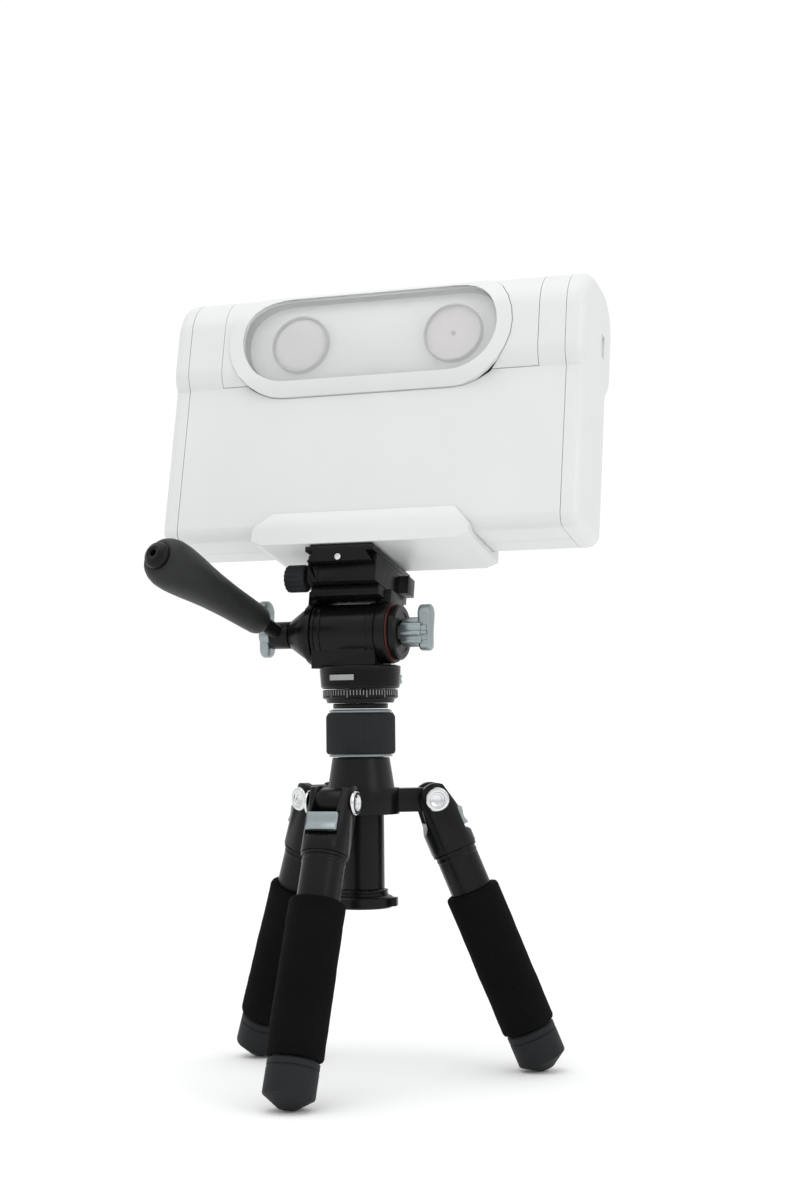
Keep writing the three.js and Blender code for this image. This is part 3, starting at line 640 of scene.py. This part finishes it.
for side in LEG_SIDES:
    place = leg_frame(side)
    body = side + "_leg"
    complete(leg_tube(side, place), side + "_tube_drawn", BLACK, body, [side + "_leg_tube"])
    sleeve = complete(foam_sleeve(side, place), side + "_foam_sleeve", FOAM, body,
                      [side + "_leg_grip"])
    complete(rubber_foot(side, place), side + "_foot_moulded", RUBBER, body,
             [side + "_leg_foot"])
    complete(pivot_bolt(side, place), side + "_bolt_turned", CHROME, body,
             [side + "_leg_pivot_bolt"], smooth=30)
print("leg pieces", 4 * len(LEG_SIDES))

# %% [markdown]
# The centre column is a plain anodised tube with a screwed foot. The collar above the hub is a metal nut in
# a ribbed rubber sleeve, and a thin bright line of the nut shows above and below the sleeve.

# %% Column and collar
LUG_TURN = 10
COLLAR_RIBS = 72


def column_foot():
    z = span("column_foot", UPRIGHT)[0].z
    flange = turn(
        [(16.4, z), (17.5, z + 0.4), (18, z + 1), (18, z + 5.8), (17.3, z + 6.6), (16, z + 7.2),
         (15, z + 7.3), (15, z + 8.5), (14.5, z + 8.8), (14.5, z + 9.2), (15, z + 9.5),
         (15, z + 10.2), (14.5, z + 10.6)],
        place=UPRIGHT,
    )
    turned = UPRIGHT @ Matrix.Rotation(math.radians(LUG_TURN), 4, "Z")
    outline = [(14, -4), (19.6, -4), (20.5, -3), (20.5, 3), (19.6, 4), (14, 4)]
    lug = slab(outline, z + 1, z + 6, place=turned, edge=0.5)
    return joined(flange, lug)


def column_tube():
    low, high = span("centre_column", UPRIGHT)
    outer = high.x
    return turn(
        [(outer - 2, low.z), (outer - 0.3, low.z), (outer, low.z + 0.3), (outer, high.z), (outer - 2, high.z),
         (outer - 2, low.z)],
        place=UPRIGHT,
    )


def collar_nut():
    low, high = span("collar_nut", UPRIGHT)
    inner = span("centre_column", UPRIGHT)[1].x + 0.4
    outer = high.x
    return turn(
        [(inner, low.z), (outer - 0.5, low.z), (outer, low.z + 0.4), (outer, low.z + 1),
         (outer - 1, low.z + 1.2), (outer - 1, high.z - 1.6), (outer - 0.2, high.z - 1.5),
         (outer - 0.2, high.z - 0.9), (outer - 1.4, high.z), (inner, high.z), (inner, low.z)],
        place=UPRIGHT,
    )


def collar_sleeve():
    low, high = span("collar_grip", UPRIGHT)
    outer = high.x
    inner = outer - 2.2
    return turn(
        [(inner, low.z), (outer - 1.3, low.z), (outer - 0.5, low.z + 0.5), (outer, low.z + 1.6),
         (outer, high.z - 2.6), (outer - 0.6, high.z - 1.2), (outer - 1.5, high.z), (inner, high.z),
         (inner, low.z)],
        sides=5 * COLLAR_RIBS, place=UPRIGHT, flutes=(COLLAR_RIBS, 0.016),
    )


complete(column_tube(), "column_tube_drawn", BLACK, "column", ["centre_column"])
complete(column_foot(), "column_foot_turned", BLACK, "column", ["column_foot"])
complete(collar_nut(), "collar_nut_turned", SILVER, "collar", ["collar_nut"])
complete(collar_sleeve(), "collar_sleeve_ribbed", RUBBER, "collar", ["collar_grip"], smooth=60)
print("column pieces", 4)

# %% [markdown]
# The pan base turns on a ring with a mark every five degrees. The base itself has fine turned grooves all
# round, and carries a small blank label plate.

# %% Pan base
MARKS = 72
FACETS_A_MARK = 5
RING_SIDES = FACETS_A_MARK * MARKS
LONG_MARK_EVERY = 6
MARK_LOW = 3.1
MARK_MIDDLE = 4.3
MARK_HIGH = 7.2
GROOVES = 8
GROOVE_START = 1.6
GROOVE_RISE = 1.25
GROOVE_DEPTH = 0.25
GROOVE_RADIUS = 22.45
GROOVE_WIDEN = 0.105


def scale_ring():
    low, high = span("pan_scale_ring", UPRIGHT)
    z = low.z
    outer = high.x
    return turn(
        [(19.2, z), (20.0, z + 2.2), (outer - 0.6, z + 2.5), (outer, z + MARK_LOW),
         (outer, z + MARK_MIDDLE), (outer, z + MARK_HIGH), (outer - 0.5, z + 7.6)],
        sides=RING_SIDES, place=UPRIGHT,
    )


def paint_marks(ring):
    """Every fifth facet of the ring's band is a mark, and each sixth mark is a long one."""
    ring.data.materials.append(MARK)
    z = span("pan_scale_ring", UPRIGHT)[0].z
    for face in ring.data.polygons:
        middle = (UPRIGHT.inverted() @ face.center) / MM
        step = int((math.atan2(middle.y, middle.x) / (2 * math.pi) % 1) * RING_SIDES)
        upright = abs(face.normal.z) < 0.3
        upper = z + MARK_MIDDLE < middle.z < z + MARK_HIGH
        lower = z + MARK_LOW < middle.z < z + MARK_MIDDLE
        short_mark = upper and step % FACETS_A_MARK == 0
        long_mark = lower and step % (FACETS_A_MARK * LONG_MARK_EVERY) == 0
        if upright and (short_mark or long_mark):
            face.material_index = 1


def groove_band():
    """A turned band with fine grooves, round the upper part of the pan base."""
    start = span("pan_scale_ring", UPRIGHT)[1].z + GROOVE_START
    inner = GROOVE_RADIUS - 1
    profile = [(inner, start)]
    for i in range(GROOVES):
        radius = GROOVE_RADIUS + GROOVE_WIDEN * (i + 1)
        crest = radius + GROOVE_DEPTH
        height = start + GROOVE_RISE * i
        profile += [(radius, height), (crest, height + 0.15), (crest, height + 0.8), (radius, height + 0.95)]
    profile += [(inner, start + GROOVE_RISE * GROOVES), (inner, start)]
    return turn(profile, place=UPRIGHT)


ring = complete(scale_ring(), "scale_ring_turned", BLACK, "column", ["pan_scale_ring"],
                smooth=30)
paint_marks(ring)
complete(groove_band(), "pan_groove_band", BLACK, "pan", smooth=25)
label = casting("pan_badge", 0.15)
complete(label, "blank_label", LABEL, "pan", ["pan_badge"])
print("marks", sum(face.material_index == 1 for face in ring.data.polygons))

# %% [markdown]
# The tilt barrel has two thin raised bands at each end, and the right cheek carries a dull red line and a
# turned end disc. The lock knobs are bead-blasted aluminium: the tilt knob has a fluted hub and a cast
# wing, the handle's has a plain hub and a wing, and the pan base's is a small fluted one. The clamp knob
# is ribbed rubber.

# %% Tilt barrel, disc and knobs
ALONG_X = TILTED @ Matrix.Rotation(math.pi / 2, 4, "Y")
SWEEP = 14
BARREL_RADIUS = 17.0
BAND_WIDTH = 1.6
LEFT_BAND_INSETS = (0.4, 4.4)
RIGHT_BANDS = (8.2, 12.0)
TILT_LOBES = 9
PAN_LOBES = 10
CLAMP_RIBS = 16
TILT_WING_TURN = math.radians(12)
HANDLE_WING_TURN = math.radians(8)


def barrel_band(low, high, radius):
    return turn(
        [(radius - 1, low), (radius + 0.3, low), (radius + 0.45, low + 0.3), (radius + 0.45, high - 0.3),
         (radius + 0.3, high), (radius - 1, high), (radius - 1, low)],
        place=ALONG_X,
    )


def wing_plate(length_up, length_down, root, tip_up, tip_down):
    """The outline of a wing across a knob's face: narrow in the middle and wider towards its rounded ends."""
    def tip(centre, radius, first):
        return [(centre + radius * math.cos(math.radians(first + i * 180 / SWEEP)),
                 radius * math.sin(math.radians(first + i * 180 / SWEEP))) for i in range(SWEEP + 1)]
    upper = tip(length_up - tip_up, tip_up, -90)
    lower = tip(-(length_down - tip_down), tip_down, 90)
    return [(0, -root), *upper, (0, root), *lower]


def end_disc():
    low, high = span("tilt_end_disc", TILTED)
    radius = high.z
    inner = radius - 9
    return turn(
        [(inner, low.x), (radius - 0.5, low.x), (radius, low.x + 0.6), (radius, high.x - 1),
         (radius - 1, high.x), (radius - 4, high.x), (radius - 4.4, high.x - 0.6), (inner, high.x - 0.6),
         (inner, low.x)],
        place=ALONG_X,
    )


def accent_line():
    low, high = span("tilt_accent_ring", TILTED)
    radius = high.z
    inner = radius - 10
    return turn(
        [(inner, low.x), (radius, low.x), (radius, high.x), (inner, high.x), (inner, low.x)],
        place=ALONG_X,
    )


complete(end_disc(), "end_disc_turned", BLACK, "tilt", ["tilt_end_disc"])
complete(accent_line(), "accent_line", RED, "tilt", ["tilt_accent_ring"])
barrel_left = span("pan_body", TILTED)[0].x
left_bands = [barrel_left + inset for inset in LEFT_BAND_INSETS]
for number, start in enumerate((*left_bands, *RIGHT_BANDS), 1):
    band = barrel_band(start, start + BAND_WIDTH, BARREL_RADIUS)
    complete(band, "barrel_band_" + str(number), BLACK, "pan")


def tilt_knob():
    low, high = span("tilt_lock_knob", TILTED)
    start = low.x
    hub = turn(
        [(5.2, start), (8.0, start), (8.7, start + 0.8), (8.7, start + 11.6), (8.0, start + 12.4),
         (6.4, start + 12.6), (6.4, start + 15.5)],
        sides=12 * TILT_LOBES, place=ALONG_X, flutes=(TILT_LOBES, 0.2), edge=0.2,
    )
    face = ALONG_X @ Matrix.Rotation(TILT_WING_TURN, 4, "Z")
    outline = wing_plate(length_up=11.0, length_down=15.8, root=3.8, tip_up=4.0, tip_down=6.0)
    wing = slab(outline, high.x - 7.3, high.x, place=face, edge=1.6)
    return joined(hub, wing)


def handle_knob():
    place = Matrix.Translation(Vector(joints["handle_lock_turn"]["pos_m"])) @ Matrix.Rotation(
        math.pi / 2, 4, "Y"
    )
    low = span("handle_wing_knob", place)[0]
    hub = turn([(4.6, low.z), (5.6, low.z + 0.8), (5.6, low.z + 7)], sides=48, place=place, edge=0.3)
    face = place @ Matrix.Rotation(HANDLE_WING_TURN, 4, "Z")
    outline = wing_plate(length_up=13.0, length_down=20.5, root=4.4, tip_up=5.6, tip_down=8.0)
    wing = slab(outline, low.z + 0.1, low.z + 6.4, place=face, edge=1.8)
    return joined(hub, wing)


def pan_knob():
    place = Vector(joints["pan_lock_turn"]["axis"]).to_track_quat("Z", "Y").to_matrix().to_4x4()
    place = Matrix.Translation(Vector(joints["pan_lock_turn"]["pos_m"])) @ place
    low, high = span("pan_lock_knob", place)
    return turn(
        [(2.4, low.z), (2.4, low.z + 1.6), (5.8, low.z + 1.7), (6.4, low.z + 2.3), (6.4, high.z - 0.8),
         (5.6, high.z), (3.4, high.z), (3.1, high.z - 0.5)],
        sides=10 * PAN_LOBES, place=place, flutes=(PAN_LOBES, 0.12), edge=0.15,
    )


def clamp_knob():
    low, high = span("clamp_knob", TILTED)
    centre = (low + high) / 2
    place = TILTED @ Matrix.Translation(Vector((0, centre.y, centre.z)) * MM) @ Matrix.Rotation(
        math.pi / 2, 4, "Y"
    )
    return turn(
        [(4, low.x + 0.5), (5.6, low.x + 0.5), (6, low.x), (7.2, low.x), (8, low.x + 0.9),
         (8, low.x + 11.6), (7.4, low.x + 12.4), (2.4, low.x + 12.4), (2.4, high.x)],
        sides=8 * CLAMP_RIBS, place=place, flutes=(CLAMP_RIBS, 0.08), edge=0.15,
    )


complete(tilt_knob(), "tilt_knob_cast", SILVER, "tilt_knob", ["tilt_lock_knob"], smooth=45)
complete(handle_knob(), "handle_knob_cast", SILVER, "handle_knob", ["handle_wing_knob"], smooth=45)
complete(pan_knob(), "pan_knob_cast", SILVER, "pan_knob", ["pan_lock_knob"], smooth=45)
complete(clamp_knob(), "clamp_knob_moulded", RUBBER, "clamp_screw", ["clamp_knob"], smooth=45)
print("knobs", 4)

# %% [markdown]
# The handle is a moulded rubber grip over a bar: slim at the arm, and swelling to a round end with a small
# black plug. Its surface is lightly stippled.

# %% Handle
# The grip's outline: (share of its length, radius in millimetres).
GRIP_SHARES = [(0, 7.0), (0.006, 7.9), (0.03, 8.5), (0.1, 8.8), (0.2, 9.15), (0.3, 9.5), (0.4, 10.1),
               (0.5, 10.8), (0.6, 11.8), (0.7, 13.0), (0.78, 13.8), (0.84, 14.2), (0.9, 14.1),
               (0.94, 13.3), (0.97, 12.0), (0.99, 10.3)]
GRIP_BORE = 5.1
GRIP_END = 8.6


def handle_frame():
    """Origin at the handle's pivot, with Z along the grip."""
    arm = Vector(joints["handle_angle"]["pos_m"])
    low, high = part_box("handle_end_cap")
    tip = (Vector(low) + Vector(high)) / 2
    turned = (tip - arm).to_track_quat("Z", "Y").to_matrix().to_4x4()
    return Matrix.Translation(arm) @ turned


def grip():
    place = handle_frame()
    low, high = span("handle_grip", place)
    length = high.z - low.z
    profile = [(radius, low.z + share * length) for share, radius in GRIP_SHARES]
    start = (GRIP_BORE, low.z)
    return turn([start, *profile, (GRIP_END, high.z), (GRIP_BORE, high.z - 0.8), start], place=place)


complete(grip(), "handle_grip_moulded", GRIP, "handle", ["handle_grip"], smooth=50)
print("handle", 1)

# %% [markdown]
# Small screws: the plate's stop screw has a small round socket, and the mounting screw joins the plate to
# the scanner. The tilt axle runs through the barrel.

# %% Screws
def stop_screw():
    low, high = span("plate_stop_screw", TILTED)
    middle = (low + high) / 2
    radius = (high.x - low.x) / 2
    place = TILTED @ Matrix.Translation(Vector((middle.x, 0, middle.z)) * MM) @ ALONG_Y
    return turn(
        [(radius, -high.y), (radius, -low.y - 0.5), (radius - 0.4, -low.y), (0.9, -low.y),
         (0.8, -low.y - 0.6)],
        sides=32, place=place, edge=0.05,
    )


complete(stop_screw(), "stop_screw_turned", CHROME, "scanner", ["plate_stop_screw"])
complete(casting("mounting_screw", 0.3), "mounting_screw_turned", CHROME, "scanner",
         ["mounting_screw"])
complete(casting("tilt_axle", 0.5), "tilt_axle_turned", GREY, "tilt", ["tilt_axle"])
